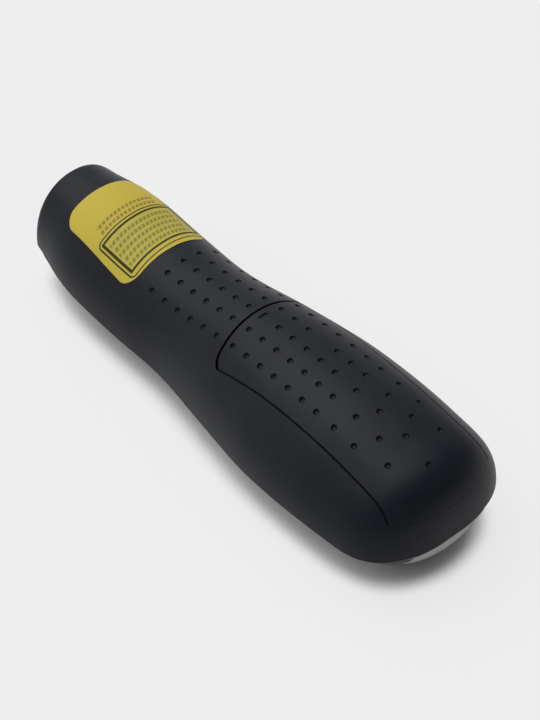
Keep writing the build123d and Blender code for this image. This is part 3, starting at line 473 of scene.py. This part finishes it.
def bare_metal(name, colour, roughness):
    """Metal with fine drawing marks along X."""
    finish = Finish(name, Metallic=1.0)
    where, _ = finish.place()
    stretched = finish.add("ShaderNodeMapping", {}, {"Vector": where, "Scale": DRAWING_MARKS})
    marks = finish.noise(stretched, 1.0, detail=4.0, roughness=0.6)
    stain = finish.noise(where, 0.4, detail=3.0)
    finish.colour(finish.mix(finish.spread(stain, 0.0, 1.0), colour, shade(colour, 0.9)))
    finish.roughness(finish.span(marks, 0.25, 0.75, roughness - 0.06, roughness + 0.08))
    finish.relief(marks, 0.1, 0.01)
    return finish


# ---- Inside ----------------------------------------------------------------------------------

class InsideLook(bpy.types.PropertyGroup):
    board: FloatVectorProperty(name="Board", description="Colour of the boards' solder mask",
                               subtype="COLOR", default=(0.012, 0.085, 0.035))
    sleeve: FloatVectorProperty(name="Cell sleeve", description="Colour of the cells' printed sleeve",
                                subtype="COLOR", default=(0.09, 0.10, 0.115))
    cap: FloatVectorProperty(name="Cell band", description="Colour of the band at the cells' plus end",
                             subtype="COLOR", default=(0.52, 0.53, 0.54))


# The boards' tracks, in millimetres. Each line is given by half its width.
TRACK_PITCH = 0.9
TRACK_WANDER = 1.2
TRACK_LINE = 0.13
TRACK_SOFT = 0.05
CROSS_PITCH = 3.1
CROSS_LINE = 0.1
HOLE_SIZE = 0.09            # as a share of the space between the holes
HOLE_SOFT = 0.02
PLATED_HOLE = (0.62, 0.5, 0.3)

# A cell's sleeve, in millimetres from the end that each is named for.
BAND_LENGTH = 9.5           # bright band at the plus end
LINE_PLACE = 11.0
LINE_HALF_WIDTH = 0.25
PLUS_BARE = 1.15
MINUS_BARE = 0.3
CELL_SOFT = 0.05
CELL_METAL = (0.62, 0.61, 0.58)
SLEEVE_METALLIC = 0.35      # of the printed sleeve
BARE_METALLIC = 0.6         # added where the can is bare

PLUNGERS = tuple(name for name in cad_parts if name.endswith("_plunger"))


def board_finish(name, colour):
    """Solder mask over copper tracks, with plated holes."""
    finish = Finish(name, Specular_IOR_Level=0.5, Coat_Weight=0.3, Coat_Roughness=0.15)
    where, (x, y, _) = finish.place()
    lane = finish.noise(where, 0.22, detail=0.0)
    wander = finish.spread(lane, -TRACK_WANDER, TRACK_WANDER)
    track = finish.edge((y + wander).wave(TRACK_PITCH), TRACK_LINE, TRACK_SOFT)
    cross = finish.edge((x * 0.7 + y * 0.7).wave(CROSS_PITCH), CROSS_LINE, TRACK_SOFT)
    copper = track.high(cross)
    mask = finish.mix(copper, colour, shade(colour, 1.9))
    holes = finish.edge(finish.spots(where, 0.28), HOLE_SIZE, HOLE_SOFT)
    finish.colour(finish.mix(holes, mask, PLATED_HOLE))
    finish.roughness(finish.spread(finish.noise(where, 3.0), 0.3, 0.42))
    finish.relief(copper, 0.3, 0.03)
    return finish


# How each is made, its name, colour and roughness, and the nodes that get it.
INSIDE_FINISHES = (
    (plain_plastic, "chip_epoxy", (0.018, 0.018, 0.02), 0.5,
     ("controller_chip", "radio_chip", "memory_chip", "voltage_booster", "receiver_chip")),
    (plain_plastic, "switch_plastic", (0.03, 0.03, 0.033), 0.45,
     ("key_switches", "power_switch", "power_slider", *PLUNGERS)),
    (plain_plastic, "capacitor_ceramic", (0.36, 0.25, 0.15), 0.4, ("capacitors",)),
    (plain_plastic, "coil_ferrite", (0.06, 0.055, 0.05), 0.6, ("power_coil",)),
    (plain_plastic, "light_resin", (0.75, 0.73, 0.6), 0.25, ("status_led",)),
    (bare_metal, "crystal_steel", (0.62, 0.62, 0.63), 0.25, ("crystal",)),
    (bare_metal, "screw_steel", (0.55, 0.55, 0.56), 0.3, ("board_screws", "casing_screw")),
    (bare_metal, "barrel_brass", (0.72, 0.52, 0.22), 0.28, ("laser_barrel",)),
    (bare_metal, "diode_plating", (0.75, 0.6, 0.35), 0.25, ("laser_diode",)),
    (bare_metal, "contact_nickel", (0.68, 0.67, 0.64), 0.25,
     ("plus_contact", "minus_contact", "bridge_contact")),
    (plain_plastic, "bay_plastic", (0.016, 0.016, 0.018), 0.5, ("battery_tray", "receiver_dock")),
)


class CLICKER_OT_inside(bpy.types.Operator):
    """Finish the board, its parts, the laser, the battery bay and the cells"""
    bl_idname = "clicker.inside"
    bl_label = "Inside"

    def execute(self, context):
        look = context.scene.clicker_inside
        dress(board_finish("board_mask", look.board), "circuit_board", "laser_board", "receiver_board")
        for make, name, colour, roughness, nodes in INSIDE_FINISHES:
            dress(make(name, colour, roughness), *nodes)
        lens = clear_finish("laser_lens_glass", (0.9, 0.95, 0.97), 1.0, 1.5, 2.0, (0.01, 0.03), detail=1.0)
        dress(lens, "laser_lens")
        for node, plus_end in (("battery_left", -1.0), ("battery_right", 1.0)):
            dress(self.cell(node, plus_end, look), node)
        return {"FINISHED"}

    def cell(self, node, plus_end, look):
        """A printed sleeve with a bright band at the plus end, and bare metal at both ends."""
        low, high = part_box(node)
        half = (high.x - low.x) / 2 / MM
        finish = Finish(node + "_sleeve", Coat_Weight=0.4, Coat_Roughness=0.12)
        where, (x, _, _) = finish.place((low + high) / 2)
        along = x * plus_end
        band = finish.edge(0.0 - along, BAND_LENGTH - half, CELL_SOFT)
        line = finish.edge(abs(along - (half - LINE_PLACE)), LINE_HALF_WIDTH, CELL_SOFT)
        sleeve = finish.mix(band.high(line), look.sleeve, look.cap)
        plus_bare = finish.edge(0.0 - along, PLUS_BARE - half, CELL_SOFT)
        bare = plus_bare.high(finish.edge(along, MINUS_BARE - half, CELL_SOFT))
        finish.colour(finish.mix(bare, sleeve, CELL_METAL))
        finish.join(finish.shader.inputs["Metallic"], bare * BARE_METALLIC + SLEEVE_METALLIC)
        worn = finish.noise(where, 1.2, detail=4.0, roughness=0.6)
        finish.roughness(finish.spread(worn, 0.24, 0.36))
        finish.relief(worn, 0.06, 0.02)
        return finish


class CLICKER_OT_receiver(bpy.types.Operator):
    """Finish the stowed USB receiver"""
    bl_idname = "clicker.receiver"
    bl_label = "Receiver"

    def execute(self, context):
        dress(plain_plastic("receiver_plastic", (0.40, 0.40, 0.402), 0.38), "receiver_case")
        dress(bare_metal("plug_steel", (0.66, 0.66, 0.66), 0.22), "receiver_plug")
        dress(plain_plastic("tongue_plastic", (0.02, 0.02, 0.022), 0.35), "receiver_tongue")
        dress(bare_metal("contact_gold", (0.83, 0.62, 0.25), 0.2), "receiver_contacts")
        return {"FINISHED"}


# ---- Studio ----------------------------------------------------------------------------------

class StudioLook(bpy.types.PropertyGroup):
    floor: FloatVectorProperty(name="Floor", description="Colour of the floor", subtype="COLOR",
                               default=(0.82, 0.82, 0.82))
    backdrop: FloatVectorProperty(name="Backdrop", description="Colour seen behind the object",
                                  subtype="COLOR", default=(0.855, 0.855, 0.855))
    shadow: FloatProperty(name="Shadow", default=0.12, min=0.0, max=1.0, subtype="FACTOR",
                          description="Share of the shadow that the floor keeps away from the object")
    shadow_reach: FloatProperty(name="Shadow reach", default=8.0 * MM, min=0.0, subtype="DISTANCE",
                                unit="LENGTH", description="How far round the object the shadow is whole")
    ambient: FloatProperty(name="Ambient", description="Strength of the light from all round",
                           default=0.20, min=0.0)
    brightness: FloatProperty(name="Brightness", description="Factor on all the lamps",
                              default=1.0, min=0.0)
    lens: FloatProperty(name="Lens", description="Camera's focal length in millimetres",
                        default=113.6, min=1.0)


FLOOR_HALF = 3.0                        # metres
OPEN_SKY = (0.5, 0.77)                  # how open the sky is where the shadow is whole, and lightened
LAMP_ANGLE = 50.0                       # degrees across
SENSOR_WIDTH = 36.0                     # millimetres
CAMERA_PLACE = (240.39, -200.29, 344.38)    # millimetres
CAMERA_TARGET = (-4.724, 8.587, 1.578)
CAMERA_ROLL = -0.5                      # degrees
CLIP_START = 0.01                       # metres

# Each broad lamp: the side it stands on and its height, in degrees, and its share of the light.
LAMPS = {
    "overhead_lamp": (145.0, 74.0, 0.285),
    "nose_lamp": (180.0, 48.0, 0.33),
    "side_lamp": (230.0, 58.0, 0.26),
    "low_far_lamp": (135.0, 22.0, 0.11),
    "low_near_lamp": (225.0, 22.0, 0.16),
}


def broad_lamp(name, side, height, share):
    """A soft lamp a long way off, like a large panel."""
    side, height = math.radians(side), math.radians(height)
    lamp = bpy.data.lights.new(name, "SUN")
    lamp.angle = math.radians(LAMP_ANGLE)
    lamp.energy = math.pi * share
    holder = bpy.data.objects.new(name, lamp)
    towards = Vector((math.cos(side) * math.cos(height), math.sin(side) * math.cos(height), math.sin(height)))
    holder.rotation_euler = towards.to_track_quat("Z", "Y").to_euler()
    bpy.context.scene.collection.objects.link(holder)


class CLICKER_OT_studio(bpy.types.Operator):
    """Lay the floor, hang the lamps and place the camera"""
    bl_idname = "clicker.studio"
    bl_label = "Studio"

    def execute(self, context):
        look = context.scene.clicker_studio
        scene = context.scene
        scene.view_settings.view_transform = "Standard"
        self.floor(look)
        self.world(look)
        for name, (side, height, share) in LAMPS.items():
            broad_lamp(name, side, height, share * look.brightness)
        self.camera(look)
        return {"FINISHED"}

    def floor(self, look):
        """A wide pale sheet, whose shadow is lightened for the camera alone."""
        sheet = bmesh.new()
        bmesh.ops.create_grid(sheet, x_segments=4, y_segments=4, size=FLOOR_HALF)
        mesh = bpy.data.meshes.new("floor")
        sheet.to_mesh(mesh)
        sheet.free()
        floor = bpy.data.objects.new("floor", mesh)
        bpy.context.scene.collection.objects.link(floor)
        paint = Finish("floor_paint", Base_Color=(*look.floor, 1.0), Roughness=0.9, Specular_IOR_Level=0.1)
        open_sky = paint.add("ShaderNodeAmbientOcclusion", {"samples": 16},
                             {"Distance": look.shadow_reach}, "AO")
        lightened = paint.span(open_sky, *OPEN_SKY, 0.0, 1.0 - look.shadow)
        seen = paint.add("ShaderNodeLightPath", {}, {}, "Is Camera Ray") * lightened
        glow = paint.add("ShaderNodeEmission", {}, {"Color": look.backdrop})
        lit = Wire(paint, paint.shader.outputs[0])
        paint.surface(paint.add("ShaderNodeMixShader", {}, {0: seen, 1: lit, 2: glow}))
        mesh.materials.append(paint.material)

    def world(self, look):
        """Even light from all round, with the backdrop's colour in sight and through glass."""
        world = bpy.data.worlds.new("studio")
        sky = Graph(world)
        rays = [sky.add("ShaderNodeLightPath", {}, {}, name) for name in
                ("Is Camera Ray", "Is Transmission Ray")]
        white = sky.add("ShaderNodeBackground", {}, {"Color": (1.0, 1.0, 1.0), "Strength": look.ambient})
        backdrop = sky.add("ShaderNodeBackground", {}, {"Color": look.backdrop})
        sky.surface(sky.add("ShaderNodeMixShader", {}, {0: rays[0].high(rays[1]), 1: white, 2: backdrop}))
        bpy.context.scene.world = world

    def camera(self, look):
        """A camera above the butt's near side that looks down at the back."""
        camera = bpy.data.objects.new("camera", bpy.data.cameras.new("camera"))
        camera.data.sensor_width = SENSOR_WIDTH
        camera.data.lens = look.lens
        camera.data.clip_start = CLIP_START
        place = Vector(CAMERA_PLACE) * MM
        target = Vector(CAMERA_TARGET) * MM
        back = (place - target).normalized()
        level = Vector((0.0, 0.0, 1.0)).cross(back).normalized()
        upright = back.cross(level)
        roll = math.radians(CAMERA_ROLL)
        right = level * math.cos(roll) + upright * math.sin(roll)
        up = upright * math.cos(roll) - level * math.sin(roll)
        camera.matrix_world = Matrix.Translation(place) @ Matrix((right, up, back)).transposed().to_4x4()
        bpy.context.scene.collection.objects.link(camera)
        bpy.context.scene.camera = camera


class CLICKER_PT_panel(bpy.types.Panel):
    """Steps that dress the clicker"""
    bl_label = "Clicker"
    bl_idname = "CLICKER_PT_panel"
    bl_space_type = "VIEW_3D"
    bl_region_type = "UI"
    bl_category = "Clicker"

    def draw(self, context):
        column = self.layout.column(align=True)
        for operator in OPERATORS:
            column.operator(operator.bl_idname)
        for group in LOOKS:
            look = getattr(context.scene, group)
            for name in look.bl_rna.properties.keys():
                if name not in ("rna_type", "name"):
                    column.prop(look, name)


LOOKS = {
    "clicker_casing": CasingLook,
    "clicker_sticker": StickerLook,
    "clicker_controls": ControlLook,
    "clicker_inside": InsideLook,
    "clicker_studio": StudioLook,
}
OPERATORS = (CLICKER_OT_studio, CLICKER_OT_casing, CLICKER_OT_sticker, CLICKER_OT_controls,
             CLICKER_OT_inside, CLICKER_OT_receiver)


def register():
    for name, group in LOOKS.items():
        bpy.utils.register_class(group)
        setattr(bpy.types.Scene, name, PointerProperty(type=group))
    for item in (*OPERATORS, CLICKER_PT_panel):
        bpy.utils.register_class(item)


def unregister():
    for item in (CLICKER_PT_panel, *reversed(OPERATORS)):
        bpy.utils.unregister_class(item)
    for name, group in LOOKS.items():
        delattr(bpy.types.Scene, name)
        bpy.utils.unregister_class(group)


def main():
    register()
    for step in ("studio", "casing", "sticker", "controls", "inside", "receiver"):
        getattr(bpy.ops.clicker, step)()


if __name__ == "__main__":
    main()
